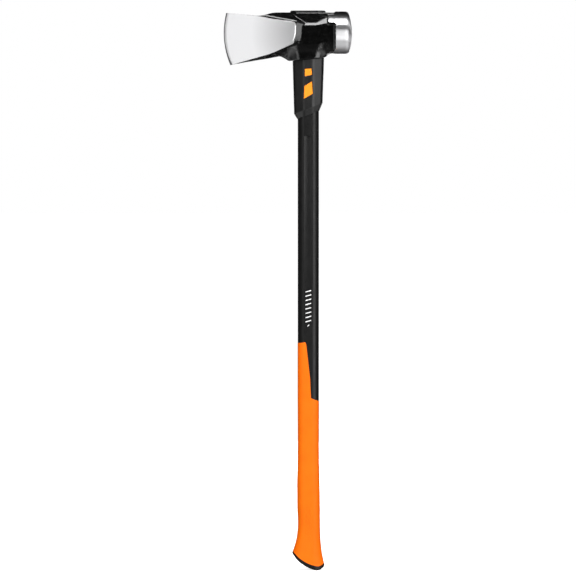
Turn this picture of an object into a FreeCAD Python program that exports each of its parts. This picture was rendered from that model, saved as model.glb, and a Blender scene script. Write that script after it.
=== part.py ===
"""Two-handed splitting maul, head up, as an assembly of separate pieces (millimetres).

Frame: +Z runs up the handle axis to the head, -X points to the splitting edge and +X to
the striking face. The part is symmetric about the plane Y = 0. The origin is the centre
of the flat top of the eye cap, on the handle axis, so every piece lies below Z = 0.

The layers from inside to outside are the glass-fibre core, the black handle shell, the
orange insulation sleeve in the eye and under the collar, and then the steel head above
and the black collar below. The orange grip and the black butt cap are moulded on the
lower end.
"""
import FreeCAD, Part
import math
import os

V = FreeCAD.Vector

# Whole tool
overall_length = 914.4
head_length = 209.0
edge_x = -137.8                      # foremost point of the splitting edge
face_x = edge_x + head_length        # crown of the striking face

# Splitting wedge
edge_half_thickness = 0.4            # honed edge
cheek_start_half = 1.4               # cheek planes, carried on to the foremost point
shoulder_half = 27.4                 # widest place, at the rear end of the cheeks
shoulder_x = -21.0
hone_half_angle = 50.0               # blunt honed strip along the edge
edge_top = V(-133.9, 0, -3.5)
edge_bottom = V(-127.2, 0, -89.0)
edge_middle = V(edge_x, 0, -43.0)

# Eye block between wedge and poll
body_half = 24.2
body_top = -3.1
top_flat_half = 16.5
wedge_top_half = 11.5                # the wedge's top is narrower than the block's
eye_block_nose = -34.0               # inside the wedge
nose_inset = 9.5                     # how much narrower the block's nose is, on each side
eye_block_front = -20.0
eye_block_spread = 12.0              # from here on the upper corners fill out
eye_block_full = 36.0                # and here they are filled
eye_block_rear = 47.0                # inside the poll

# Poll, turned about an axis along X
poll_z = -36.75
poll_radius = 35.6
flare_x, flare_radius = 33.0, 23.0   # neck in front of the poll
flare_bend_x, flare_bend_radius = 40.6, 27.0
poll_front_x = 44.0                  # where the turned cylinder starts on the flare
turning_start_x = 35.0               # how far forward the turning tool ran
turning_runout = 3.0
lug_x, lug_y, lug_z = 32.5, 24.3, -14.0   # lug in each upper corner in front of the poll
lug_radius = 8.6
crown_radius = 105.0
poll_edge_radius = 7.2               # between the cylinder and the crown

# Slanted underside of the head, where the collar starts
skirt_front = V(-32.7, 0, -82.6)
skirt_rear = V(26.0, 0, -76.7)

# Handle system
core_length_x, core_depth = 22.0, 13.0
shell_half_x, shell_depth = 17.25, 24.5
sleeve_wall = 2.2
eye_top_half_x, eye_top_half_y = 21.5, 15.2
eye_fill_top = -6.0                  # core, shell and sleeve end here, under the cap
sleeve_end = -151.0
shell_join = -640.0                  # the plain bar of the shell ends inside the grip
core_end = -overall_length + 26.0
flute_top, flute_bottom = -204.0, -530.0
flute_half, flute_recess = 6.8, 0.6
grip_wall = 2.0
butt_wall = 6.8                      # black rim at the end of the grip

# Eye cap
cap_center_x = -0.75
cap_half_x, cap_half_y = 29.1, 16.0
cap_edge_radius = 1.0

# Collar under the head
collar_top_half_x, collar_top_half_y = 25.9, 20.0
collar_foot_half_x, collar_foot_half_y = 23.3, 18.4
collar_top = -74.0                   # above the slanted underside that cuts it off
collar_panel_half = 7.7              # flat side panel that holds the windows
collar_foot_front_z = -168.5
collar_foot_rear_z = -150.5
collar_bevel_height = 11.0
collar_bottom = -300.0               # well below the collar, for the cuts through it
window_recess = 0.4

OVAL_BULGE = 0.92                    # how far an oval's round end stands out, in half depths
BEYOND = 60.0                        # further from the handle's axis than the grip reaches
REACH = 600.0                        # far outside the head, for half-spaces


# ---------------------------------------------------------------- helpers

def outline(corners):
    """Closed flat wire through (point, radius) corners, each rounded by a tangent arc."""
    bends = []
    for i, (corner, radius) in enumerate(corners):
        before = (corners[i - 1][0] - corner).normalize()
        after = (corners[(i + 1) % len(corners)][0] - corner).normalize()
        half_angle = before.getAngle(after) / 2
        reach = radius / math.tan(half_angle)
        inward = (before + after).normalize()
        middle = corner + inward * (radius / math.sin(half_angle) - radius)
        bends.append((corner + before * reach, middle, corner + after * reach))
    edges = []
    for i, (start, middle, end) in enumerate(bends):
        if start.distanceToPoint(end) > 1e-6:
            edges.append(Part.Arc(start, middle, end).toShape())
        following = bends[(i + 1) % len(bends)][0]
        if end.distanceToPoint(following) > 1e-6:
            edges.append(Part.makeLine(end, following))
    return Part.Wire(edges)


def sharp(points):
    return outline([(point, 0.0) for point in points])


def across(wire, half_width):
    """Solid from an outline in the plane Y = 0, as far to one side as to the other."""
    face = Part.Face(wire)
    face.translate(V(0, -half_width, 0))
    return face.extrude(V(0, 2 * half_width, 0))


def beyond(a, b, c):
    """Everything on the side of the plane a, b, c that its normal points to."""
    normal = (b - a).cross(c - a).normalize()
    block = Part.makeBox(REACH, REACH, REACH, V(-REACH / 2, -REACH / 2, 0))
    block.Placement = FreeCAD.Placement(a, FreeCAD.Rotation(V(0, 0, 1), normal))
    return block


def mirrored(shape):
    return shape.mirror(V(0, 0, 0), V(0, 1, 0))


def bevelled(solid, planes):
    """Cut the +Y side of a solid at each plane, and the -Y side the same way."""
    for a, b, c in planes:
        block = beyond(a, b, c)
        solid = solid.cut(block).cut(mirrored(block))
    return solid


def oval(left, right, depth, height):
    """Flat-sided oval across the handle: two straight sides and two round ends."""
    half = depth / 2
    bulge = OVAL_BULGE * half
    sides = (left + bulge, right - bulge)
    front = Part.Arc(V(sides[0], half, height), V(left, 0, height), V(sides[0], -half, height))
    rear = Part.Arc(V(sides[1], -half, height), V(right, 0, height), V(sides[1], half, height))
    lower = Part.makeLine(V(sides[0], -half, height), V(sides[1], -half, height))
    upper = Part.makeLine(V(sides[1], half, height), V(sides[0], half, height))
    return Part.Wire([front.toShape(), lower, rear.toShape(), upper])


def loft(wires, ruled=False):
    return Part.makeLoft(wires, True, ruled)


def save(shape, node):
    shape = shape.removeSplitter()
    assert shape.isValid() and len(shape.Solids) == 1, node
    shape.Solids[0].exportStep(f"parts/{node}.step")
    print(f"{node}: {shape.Volume / 1000:.1f} cm3, {shape.optimalBoundingBox(False)}")


# ---------------------------------------------------------------- head

def cheek_half(x):
    """Half thickness of the ground wedge at a place along the head."""
    slope = (shoulder_half - cheek_start_half) / (shoulder_x - edge_x)
    return cheek_start_half + slope * (x - edge_x)


def wedge():
    """Splitting wedge from the honed edge to the shoulders, with forged bevels above,
    below and behind the ground cheeks."""
    blade = Part.Arc(edge_bottom, edge_middle, edge_top).toShape()
    corners = [
        edge_top,
        V(-77.5, 0, -9.2),
        V(-57.7, 0, body_top),
        V(0, 0, body_top),
        V(0, 0, -75.2),
        V(-50.0, 0, -75.2),
        V(-67.5, 0, -77.3),
        edge_bottom,
    ]
    lines = [Part.makeLine(a, b) for a, b in zip(corners, corners[1:])]
    solid = across(Part.Wire([blade] + lines), shoulder_half + 5)

    def at_cheek(x, z, inset=0.0):
        return V(x, cheek_half(x) - inset, z)

    cheek = (at_cheek(-60, 0), at_cheek(-60, -50), at_cheek(-100, 0))
    upper_band = (at_cheek(-77.6, -9.9), at_cheek(-27.6, -20.2), at_cheek(-45, -13.1, 1.0))
    ridge_end = at_cheek(shoulder_x, -17.2, 1.0)
    top_end = V(shoulder_x, wedge_top_half, body_top)
    upper_facet = (at_cheek(-67.7, -8.3, 1.0), ridge_end, top_end)
    upper_rear = (ridge_end, top_end, V(-9.0, 20.4, -17.2))
    lower_flank = (at_cheek(-61, -70.2), at_cheek(-29.3, -56.0), V(-45, 6.0, -75.2))
    front_flank = (at_cheek(-111, -84.2), at_cheek(-61, -70.2), V(-75, 3.0, -78.9))
    shoulder_upper = (at_cheek(-21.9, -24.0), at_cheek(-22.2, -42.0), V(-10.8, body_half, -35.0))
    shoulder_lower = (at_cheek(-22.2, -42.0), at_cheek(-30.0, -57.0), V(-15.0, body_half, -52.0))
    above = [upper_band, upper_facet, upper_rear]
    below = [lower_flank, front_flank]
    planes = [cheek, *above, *below, shoulder_upper, shoulder_lower]
    solid = bevelled(solid, [outward(plane) for plane in planes])
    return solid.common(honing_cone())


def outward(plane):
    """Order three points so that the plane's normal points to +Y."""
    a, b, c = plane
    if (b - a).cross(c - a).y < 0:
        return a, c, b
    return plane


def honing_cone():
    """Two cones back to back about the centre of the edge's arc: they hone the edge."""
    circle = Part.Arc(edge_bottom, edge_middle, edge_top).toShape().Curve
    center, radius = circle.Center, circle.Radius
    slope = math.tan(math.radians(hone_half_angle))
    axis_half = edge_half_thickness + slope * radius
    profile = sharp([
        V(center.x, -axis_half, center.z),
        V(center.x - radius, -edge_half_thickness, center.z),
        V(center.x - radius, edge_half_thickness, center.z),
        V(center.x, axis_half, center.z),
    ])
    return Part.Face(profile).revolve(center, V(0, 1, 0), 360)


def eye_block():
    """Forged block around the eye. A ledge runs along each side below the narrower
    top, and climbs as the upper corners fill out towards the poll."""
    def section(x, half_corners, inset=0.0):
        right = [V(x, y - inset, z) for y, z in half_corners]
        left = [V(x, inset - y, z) for y, z in reversed(half_corners)]
        return sharp(right + left)

    plain = [
        (top_flat_half, body_top),
        (21.4, -20.4),
        (body_half, -24.8),
        (body_half, -49.5),
        (21.0, -61.5),
        (12.0, -70.4),
    ]
    full = [
        (16.0, body_top - 0.3),
        (18.6, -9.5),
        (25.3, -20.0),
        (24.8, -53.0),
        (22.5, -63.5),
        (15.5, -70.2),
    ]
    nose = section(eye_block_nose, plain, nose_inset)
    front = section(eye_block_front, plain)
    middle = section(eye_block_spread, plain)
    filled = section(eye_block_full, full)
    rear = section(eye_block_rear, full)
    sections = [nose, front, middle, filled, rear]
    pieces = [loft([a, b], True) for a, b in zip(sections, sections[1:])]
    return pieces[0].fuse(pieces[1:])


def lugs():
    """Lugs that fill the upper corners out to the poll; the lathe cuts into them."""
    length = eye_block_rear - lug_x
    right = Part.makeCylinder(lug_radius, length, V(lug_x, lug_y, lug_z), V(1, 0, 0))
    left = Part.makeCylinder(lug_radius, length, V(lug_x, -lug_y, lug_z), V(1, 0, 0))
    return right.fuse(left)


def poll():
    """Striking poll: a flare from the eye block, a turned cylinder and a crowned face."""
    def at(x, radius):
        return V(x, 0, poll_z + radius)

    crown_center = face_x - crown_radius
    edge_ring = poll_radius - poll_edge_radius
    cylinder_end = crown_center + math.sqrt((crown_radius - poll_edge_radius) ** 2 - edge_ring ** 2)
    rim_angle = math.asin(edge_ring / (crown_radius - poll_edge_radius))

    def on_arc(center_x, center_radius, radius, angle):
        return at(center_x + radius * math.cos(angle), center_radius + radius * math.sin(angle))

    edge_angle = (rim_angle + math.pi / 2) / 2
    rim = on_arc(crown_center, 0, crown_radius, rim_angle)
    flare = Part.Arc(
        at(flare_x, flare_radius),
        at(flare_bend_x, flare_bend_radius),
        at(poll_front_x, poll_radius),
    )
    edge = Part.Arc(
        at(cylinder_end, poll_radius),
        on_arc(cylinder_end, edge_ring, poll_edge_radius, edge_angle),
        rim,
    )
    crown = Part.Arc(rim, on_arc(crown_center, 0, crown_radius, rim_angle / 2), at(face_x, 0))
    profile = Part.Wire([
        Part.makeLine(at(flare_x, 0), at(flare_x, flare_radius)),
        flare.toShape(),
        Part.makeLine(at(poll_front_x, poll_radius), at(cylinder_end, poll_radius)),
        edge.toShape(),
        crown.toShape(),
        Part.makeLine(at(face_x, 0), at(flare_x, 0)),
    ])
    return Part.Face(profile).revolve(V(0, 0, poll_z), V(1, 0, 0), 360)


def turning_cut():
    """What the lathe takes off the corners of the eye block in front of the poll."""
    rear = face_x + 10
    front = turning_start_x - turning_runout
    inner = poll_z + poll_radius
    outer = poll_z + 2 * poll_radius
    profile = sharp([
        V(front, 0, inner + turning_runout),
        V(turning_start_x, 0, inner),
        V(rear, 0, inner),
        V(rear, 0, outer),
        V(front, 0, outer),
    ])
    return Part.Face(profile).revolve(V(0, 0, poll_z), V(1, 0, 0), 360)


def skirt():
    """Boss under the eye, cut off at the slant where the collar begins, with a web that
    flares out to the wedge in front and to the poll behind."""
    boss_top = oval(-38.0, 34.0, 2 * body_half - 0.6, -54.0)
    boss_foot = oval(-31.0, 26.5, 42.0, -84.0)
    web_top = oval(-59.0, 41.0, 21.0, -66.0)
    web_foot = oval(-30.0, 16.0, 20.0, -84.0)
    boss = loft([boss_top, boss_foot], True)
    web = loft([web_top, web_foot], True)
    return boss.fuse(web).cut(below_skirt())


def below_skirt():
    """Everything below the slanted underside of the head."""
    return beyond(skirt_rear, skirt_front, skirt_rear + V(0, 10, 0))


def cap_seat():
    """Recess at the top of the eye for the plug of the cap."""
    mouth = oval(-eye_top_half_x, eye_top_half_x, 2 * eye_top_half_y, eye_fill_top)
    return Part.Face(mouth).extrude(V(0, 0, -2 * eye_fill_top))


def head():
    solid = wedge().fuse([eye_block(), lugs(), poll(), skirt()])
    solid = solid.cut(turning_cut())
    return solid.cut(sleeve_space()).cut(cap_seat())


# ---------------------------------------------------------------- handle

def handle_bar(half_x, depth, top, bottom):
    return Part.Face(oval(-half_x, half_x, depth, bottom)).extrude(V(0, 0, top - bottom))


def sleeve_space():
    """Outside of the insulation sleeve: straight under the head, wider in the eye."""
    half_x = shell_half_x + sleeve_wall
    depth = shell_depth + 2 * sleeve_wall
    waist = skirt_front.z
    straight = handle_bar(half_x, depth, waist, sleeve_end)
    low = oval(-half_x, half_x, depth, waist)
    high = oval(-eye_top_half_x, eye_top_half_x, 2 * eye_top_half_y, eye_fill_top)
    return straight.fuse(loft([low, high], True))


def grip_body(inset):
    """Lower end of the handle: a long waist, a palm swell and a hook-shaped butt. The
    inset moves its surface inwards, for the shell under the moulded grip."""
    stations = [
        # height, front, rear, depth
        (-500.0, -17.5, 17.6, 25.6),
        (-620.0, -17.5, 17.6, 25.6),
        (-740.0, -17.6, 17.8, 26.0),
        (-772.0, -18.3, 18.5, 27.0),
        (-810.0, -18.0, 19.1, 27.0),
        (-846.0, -17.3, 19.4, 26.4),
        (-866.0, -20.0, 20.1, 27.2),
        (-886.0, -26.4, 22.3, 29.6),
        (-918.0, -41.0, 29.5, 33.0),
    ]
    wires = [oval(left + inset, right - inset, depth - 2 * inset, height)
             for height, left, right, depth in stations]
    return loft(wires)


def end_prism(lift):
    """Everything above the rounded, slanted butt end, raised by lift."""
    rise = V(0, 0, lift)
    hook = V(-36.0, 0, -868.0) + rise
    slant = V(-9.5, 0, -904.6) + rise
    low = V(14.5, 0, -overall_length) + rise
    turn = V(20.6, 0, -overall_length + 1.2) + rise
    heel = V(28.0, 0, -overall_length + 8.0) + rise
    corners = [
        heel,
        V(BEYOND, 0, heel.z),
        V(BEYOND, 0, 0),
        V(-BEYOND, 0, 0),
        V(-BEYOND, 0, hook.z),
        hook,
    ]
    arcs = [Part.Arc(hook, slant, low).toShape(), Part.Arc(low, turn, heel).toShape()]
    lines = [Part.makeLine(a, b) for a, b in zip(corners, corners[1:])]
    return across(Part.Wire(arcs + lines), BEYOND)


def grip_region():
    """Where the orange grip covers the shell: it reaches higher towards the edge side."""
    under = -overall_length - BEYOND
    return across(outline([
        (V(-BEYOND, 0, -548.0), 0.0),
        (V(-3.9, 0, -540.6), 4.0),
        (V(2.9, 0, -600.0), 60.0),
        (V(4.0, 0, -632.3), 7.0),
        (V(BEYOND, 0, -653.0), 0.0),
        (V(BEYOND, 0, under), 0.0),
        (V(-BEYOND, 0, under), 0.0),
    ]), BEYOND)


def side_flute():
    """Shallow flute along the side of the shell, with a square upper end."""
    cutter_half = 5.0
    flute = across(outline([
        (V(-flute_half, 0, flute_top), 0.8),
        (V(flute_half, 0, flute_top), 0.8),
        (V(flute_half, 0, flute_bottom), 3.0),
        (V(-flute_half, 0, flute_bottom), 3.0),
    ]), cutter_half)
    flute.translate(V(0, shell_depth / 2 + cutter_half - flute_recess, 0))
    return flute


def core():
    return handle_bar(core_length_x / 2, core_depth, eye_fill_top, core_end)


def shell():
    bar = handle_bar(shell_half_x, shell_depth, eye_fill_top, shell_join)
    bar = bar.cut(grip_region())
    covered = grip_body(grip_wall).common(grip_region())
    solid = bar.fuse(covered).common(end_prism(butt_wall))
    flute = side_flute()
    return solid.cut(flute).cut(mirrored(flute)).cut(core())


def grip():
    solid = grip_body(0.0).common(grip_region()).common(end_prism(butt_wall))
    return solid.cut(grip_body(grip_wall))


def butt_cap():
    whole = grip_body(0.0).common(end_prism(0.0)).common(grip_region())
    return whole.cut(end_prism(butt_wall))


# ---------------------------------------------------------------- collar, sleeve and cap

def window_pads():
    """Two windows on each side of the collar, filled by pads of the sleeve."""
    square = sharp([V(-5.7, 0, -95.1), V(4.9, 0, -94.4), V(5.6, 0, -104.6), V(-5.7, 0, -106.8)])
    slant = sharp([V(-6.5, 0, -123.2), V(5.6, 0, -115.5), V(7.0, 0, -135.3), V(-7.2, 0, -143.6)])
    inner = shell_depth / 2 + sleeve_wall / 2
    pads = []
    for wire in (square, slant):
        face = Part.Face(wire)
        face.translate(V(0, inner, 0))
        pad = face.extrude(V(0, BEYOND, 0))
        pads += [pad, mirrored(pad)]
    return pads


def collar_section(half_x, half_y, height, slope=0.0):
    """Faceted oval of the collar, on a plane that may rise from front to rear."""
    quarter = [
        (collar_panel_half, half_y, 2.5),
        (0.90 * half_x, 0.58 * half_y, 4.0),
        (half_x, 0.20 * half_y, 4.0),
    ]
    right_upper = [(x, y, r) for x, y, r in reversed(quarter)]
    ring = right_upper + [(-x, y, r) for x, y, r in quarter]
    ring += [(-x, -y, r) for x, y, r in reversed(quarter)] + [(x, -y, r) for x, y, r in quarter]
    return outline([(V(x, y, height + slope * x), r) for x, y, r in ring])


def collar_outside(recess=0.0):
    slope = (collar_foot_rear_z - collar_foot_front_z) / (2 * collar_foot_half_x)
    foot_z = (collar_foot_rear_z + collar_foot_front_z) / 2
    lip = 0.5
    top = collar_section(collar_top_half_x - recess, collar_top_half_y - recess, collar_top)
    foot = collar_section(
        collar_foot_half_x - recess, collar_foot_half_y - recess, foot_z, slope)
    end = collar_section(
        shell_half_x + lip, shell_depth / 2 + lip, foot_z - collar_bevel_height, slope)
    return loft([top, foot, end], True)


def collar():
    solid = collar_outside().common(below_skirt())
    solid = solid.cut(sleeve_space())
    solid = solid.cut(handle_bar(shell_half_x, shell_depth, 0, collar_bottom))
    for pad in window_pads():
        solid = solid.cut(pad)
    return solid


def sleeve():
    solid = sleeve_space()
    for pad in window_pads():
        solid = solid.fuse(pad.common(collar_outside(window_recess)))
    return solid.cut(handle_bar(shell_half_x, shell_depth, 0, collar_bottom))


def cap():
    """Oval plate on top of the head, with a plug that closes the eye."""
    wire = oval(cap_center_x - cap_half_x, cap_center_x + cap_half_x, 2 * cap_half_y, 0)
    plate = Part.Face(wire).extrude(V(0, 0, body_top))
    rim = [edge for edge in plate.Edges if edge.BoundBox.ZMin > -0.01]
    plate = plate.makeFillet(cap_edge_radius, rim)
    plug_height = body_top - eye_fill_top
    room = Part.makeBox(
        2 * BEYOND, 2 * BEYOND, plug_height, V(-BEYOND, -BEYOND, eye_fill_top))
    return plate.fuse(cap_seat().common(room))


def main():
    os.makedirs("parts", exist_ok=True)
    save(head(), "maul_head")
    save(core(), "inner_core")
    save(shell(), "handle_shell")
    save(sleeve(), "insulation_sleeve")
    save(collar(), "collar")
    save(cap(), "top_cap")
    save(grip(), "grip")
    save(butt_cap(), "butt_cap")


main()
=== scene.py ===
"""Looks of a splitting maul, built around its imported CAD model.

Lengths are in millimetres in the CAD model's frame, and become metres where a mesh is
made: +Z runs up the handle to the head, -X points to the splitting edge and +X to the
striking face. The origin is the centre of the cap's flat top.
"""
import math

import bmesh
import bpy
import numpy as np
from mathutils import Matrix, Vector

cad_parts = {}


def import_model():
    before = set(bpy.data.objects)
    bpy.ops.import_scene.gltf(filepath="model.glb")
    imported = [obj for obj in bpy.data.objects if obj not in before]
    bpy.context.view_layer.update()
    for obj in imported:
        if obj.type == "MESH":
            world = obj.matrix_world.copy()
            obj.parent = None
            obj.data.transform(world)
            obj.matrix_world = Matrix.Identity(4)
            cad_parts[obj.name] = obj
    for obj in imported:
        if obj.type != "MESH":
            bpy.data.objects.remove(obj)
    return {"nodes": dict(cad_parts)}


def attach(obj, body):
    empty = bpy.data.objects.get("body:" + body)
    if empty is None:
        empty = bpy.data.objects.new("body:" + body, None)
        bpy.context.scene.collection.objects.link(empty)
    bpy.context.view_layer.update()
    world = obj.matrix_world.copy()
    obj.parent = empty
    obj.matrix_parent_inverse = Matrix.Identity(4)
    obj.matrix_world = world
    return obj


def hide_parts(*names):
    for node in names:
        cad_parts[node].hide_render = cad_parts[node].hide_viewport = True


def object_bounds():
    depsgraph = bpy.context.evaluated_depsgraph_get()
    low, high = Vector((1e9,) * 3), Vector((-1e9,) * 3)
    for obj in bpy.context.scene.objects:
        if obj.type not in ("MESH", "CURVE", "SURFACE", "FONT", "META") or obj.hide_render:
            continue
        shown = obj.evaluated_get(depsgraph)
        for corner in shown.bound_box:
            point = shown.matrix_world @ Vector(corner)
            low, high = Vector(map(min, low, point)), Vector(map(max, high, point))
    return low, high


MM = 0.001

# Splitting wedge
EDGE_TOP, EDGE_MIDDLE, EDGE_BOTTOM = (-133.9, -3.5), (-137.8, -43.0), (-127.2, -89.0)
NOTCH, CREST = (-77.5, -9.2), (-57.7, -3.1)
CHEEK_START = 1.4                    # half thickness at the foremost point of the edge
SHOULDER_X, SHOULDER_HALF = -21.0, 27.4
EDGE_HALF = 0.4
HONE_ANGLE = 50.0
GRINDING = 2.5                       # forged skin that grinding takes off the cheeks
RIM_DEPTH, RIM_SPREAD = 0.8, 0.018   # bare rim beside the cheeks: at the shoulder, loss per mm
UNEVENNESS, UNEVEN_LENGTH = 0.05, 11.0
HEAD_GRID = 0.85

# Eye block: half sections (y, z) in front and where its upper corners have filled out
BODY_TOP = -3.1
WEDGE_TOP_HALF = 11.5
BODY_HALF = 24.2
BLOCK_PLAIN = [(0, -3.1), (16.5, -3.1), (21.4, -20.4), (24.2, -24.8),
               (24.2, -49.5), (21.0, -61.5), (12.0, -70.4), (0, -70.4)]
BLOCK_FULL = [(0, -3.4), (16.0, -3.4), (18.6, -9.5), (25.3, -20.0),
              (24.8, -53.0), (22.5, -63.5), (15.5, -70.2), (0, -70.2)]
BLOCK_FRONT, BLOCK_TAPER, BLOCK_REAR = -34.0, -20.0, 47.0
BLOCK_SPREAD, BLOCK_FILLED = 12.0, 36.0

# Poll
POLL_Z, POLL_RADIUS = -36.75, 35.6
POLL_FRONT, TURNING_START, RUN_OUT = 44.4, 33.5, 2.5
LUG_FRONT, LUG_Y, LUG_Z, LUG_RADIUS = 32.5, 24.3, -14.0, 8.6
FACE_X, CROWN_RADIUS, POLL_EDGE = 71.2, 105.0, 7.2
CLEAR = 200.0                        # further out than any part of the head

# Skirt under the eye and the slanted plane that ends it
SKIRT_FRONT, SKIRT_REAR = (-32.7, -82.6), (26.0, -76.7)
BOSS_TOP, BOSS_DROP = -54.0, 30.0
WEB_TOP, WEB_DROP = -66.0, 18.0

# Handle, collar and grip
SHELL_HALF_X, SHELL_HALF_Y = 17.25, 12.25
CORE_HALF_X, CORE_HALF_Y = 11.0, 6.5
EYE_TOP_HALF_X, EYE_TOP_HALF_Y = 21.5, 15.2
SLEEVE_WALL, SLEEVE_END = 2.2, -151.0
EYE_FILL_TOP = -6.0
LENGTH = 914.4
FLUTE_TOP, FLUTE_BOTTOM = -204.0, -520.0
FLUTE_HALF, FLUTE_DEPTH, FLUTE_STEP = 6.8, 1.2, 0.3
SHELL_JOIN, SHELL_END = -640.0, -880.0
GRIP_HALF_X, GRIP_HALF_Y = 17.55, 12.8
GRIP_WALL, BUTT_WALL = 2.0, 6.8
GRIP_EVEN, PALM_TOP, FLARE_TOP = -660.0, -800.0, -868.0
PALM_MIDDLE, PALM_REACH = -840.0, 33.0
DIMPLE_PITCH, DIMPLE_DEPTH = 3.1, 0.7
PRINT_TOP, PRINT_PITCH, PRINT_BARS = -458.0, 7.0, 9
PRINT_BASE, PRINT_RISE = -0.2, 0.06
COLLAR_TOP, COLLAR_FOOT_FRONT, COLLAR_FOOT_REAR = (25.9, 20.0, -74.0), -168.5, -150.5
COLLAR_FOOT_HALF = (23.3, 18.4)
COLLAR_PANEL, COLLAR_FACET, COLLAR_END = 7.7, (0.90, 0.58), 0.20
COLLAR_BEVEL, COLLAR_GRID = 11.0, 0.62
WINDOWS = [
    [(-5.7, -95.1), (4.9, -94.4), (5.6, -104.6), (-5.7, -106.8)],
    [(-6.5, -123.2), (5.6, -115.5), (7.0, -135.3), (-7.2, -143.6)],
]
CAP_X, CAP_HALF_X, CAP_HALF_Y = -0.75, 29.1, 16.0

# Studio: softboxes by azimuth, elevation, distance, width, height and radiance, and
# whether they show in reflections
STUDIO_MIDDLE = (0.0, 0.0, -450.0)
LAMPS = [
    ("key_right", 40.0, 0.0, 2.4, 1.75, 2.0, 4.3, True),
    ("fill_left", -25.0, 0.0, 2.4, 0.85, 2.4, 1.75, True),
    ("top", 0.0, 67.0, 2.6, 1.6, 1.0, 14.0, True),
    ("back", 180.0, -2.0, 2.6, 1.8, 2.4, 2.2, True),
    ("front_fill", -25.0, 8.0, 3.0, 2.4, 2.4, 2.0, False),
    ("back_fill", 170.0, 8.0, 3.0, 2.4, 2.4, 3.0, False),
]
VIEW_MIDDLE, VIEW_WIDTH, VIEW_DISTANCE, VIEW_ELEVATION = (-33.2, 0.0, -452.7), 941.5, 7.85, 2.0


# ---------------------------------------------------------------- meshes

def add_piece(name, points, faces, materials, replaced=None):
    """Mesh object from millimetre points, riding on the maul."""
    mesh = bpy.data.meshes.new(name)
    mesh.from_pydata([tuple(p) for p in np.asarray(points, float) * MM], [], faces)
    piece = bpy.data.objects.new(name, mesh)
    bpy.context.scene.collection.objects.link(piece)
    for material in materials:
        mesh.materials.append(material)
    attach(piece, "root")
    if replaced:
        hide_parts(replaced)
    return piece


def smooth(piece, angle=40.0):
    """Smooth shading, with sharp edges at corners and between materials."""
    piece.data.shade_smooth()
    piece.data.set_sharp_from_angle(angle=math.radians(angle))
    bm = bmesh.new()
    bm.from_mesh(piece.data)
    for edge in bm.edges:
        if len({face.material_index for face in edge.link_faces}) > 1:
            edge.smooth = False
    bm.to_mesh(piece.data)
    bm.free()


def face_outwards(piece):
    """Turn all normals outwards."""
    bm = bmesh.new()
    bm.from_mesh(piece.data)
    bmesh.ops.recalc_face_normals(bm, faces=bm.faces)
    bm.to_mesh(piece.data)
    bm.free()


def tube(loops, closed):
    """Points and quads through loops of the same count. The ends are joined to each
    other if closed, and are else filled with one face each."""
    count = len(loops[0])
    points = np.concatenate(loops)
    faces = []
    spans = len(loops) if closed else len(loops) - 1
    for i in range(spans):
        a, b = i * count, (i + 1) % len(loops) * count
        for j in range(count):
            k = (j + 1) % count
            faces.append((a + j, a + k, b + k, b + j))
    if not closed:
        faces.append(tuple(range(count)))
        faces.append(tuple(reversed(range(len(points) - count, len(points)))))
    return points, faces


# ---------------------------------------------------------------- distance fields

def smooth_max(a, b, blend):
    """Greater of two distances, rounded where they come within the blend."""
    overlap = np.maximum(blend - np.abs(a - b), 0) / blend
    return np.maximum(a, b) + overlap ** 2 * blend / 4


def smooth_min(a, b, blend):
    """Lesser of two distances, rounded where they come within the blend."""
    return -smooth_max(-a, -b, blend)


def left_of(u, v, start, end):
    """Distance to the left of the line that runs from start to end."""
    du, dv = end[0] - start[0], end[1] - start[1]
    return ((v - start[1]) * du - (u - start[0]) * dv) / np.hypot(du, dv)


def beyond(a, b, c):
    """Distance beyond the plane through three points, on its +Y side."""
    a, b, c = np.array(a, float), np.array(b, float), np.array(c, float)
    normal = np.cross(b - a, c - a)
    normal *= math.copysign(1, normal[1]) / np.linalg.norm(normal)
    return lambda p: (p - a) @ normal


def oval_distance(x, y, left, right, half):
    """Distance outside a flat-sided oval with round ends."""
    bulge = 0.92 * half
    over = np.maximum(np.maximum(left + bulge - x, x - right + bulge), 0) * half / bulge
    return np.hypot(over, y) - half


def waves(p, wavelength, seed, count=18):
    """Smooth band-limited unevenness between about -1 and 1."""
    random = np.random.default_rng(seed)
    total = np.zeros(p.shape[:-1])
    for _ in range(count):
        direction = random.normal(size=3)
        direction *= 2 * np.pi / (wavelength * random.uniform(0.7, 1.4)) / np.linalg.norm(direction)
        total += np.sin(p @ direction + random.uniform(0, 2 * np.pi))
    return total / math.sqrt(count)


def slope_of(field, p):
    """Gradient of a field at points, by central differences."""
    step = 0.02
    parts = []
    for axis in range(3):
        shift = np.zeros(3)
        shift[axis] = step
        parts.append((field(p + shift) - field(p - shift)) / (2 * step))
    return np.stack(parts, -1)


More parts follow.
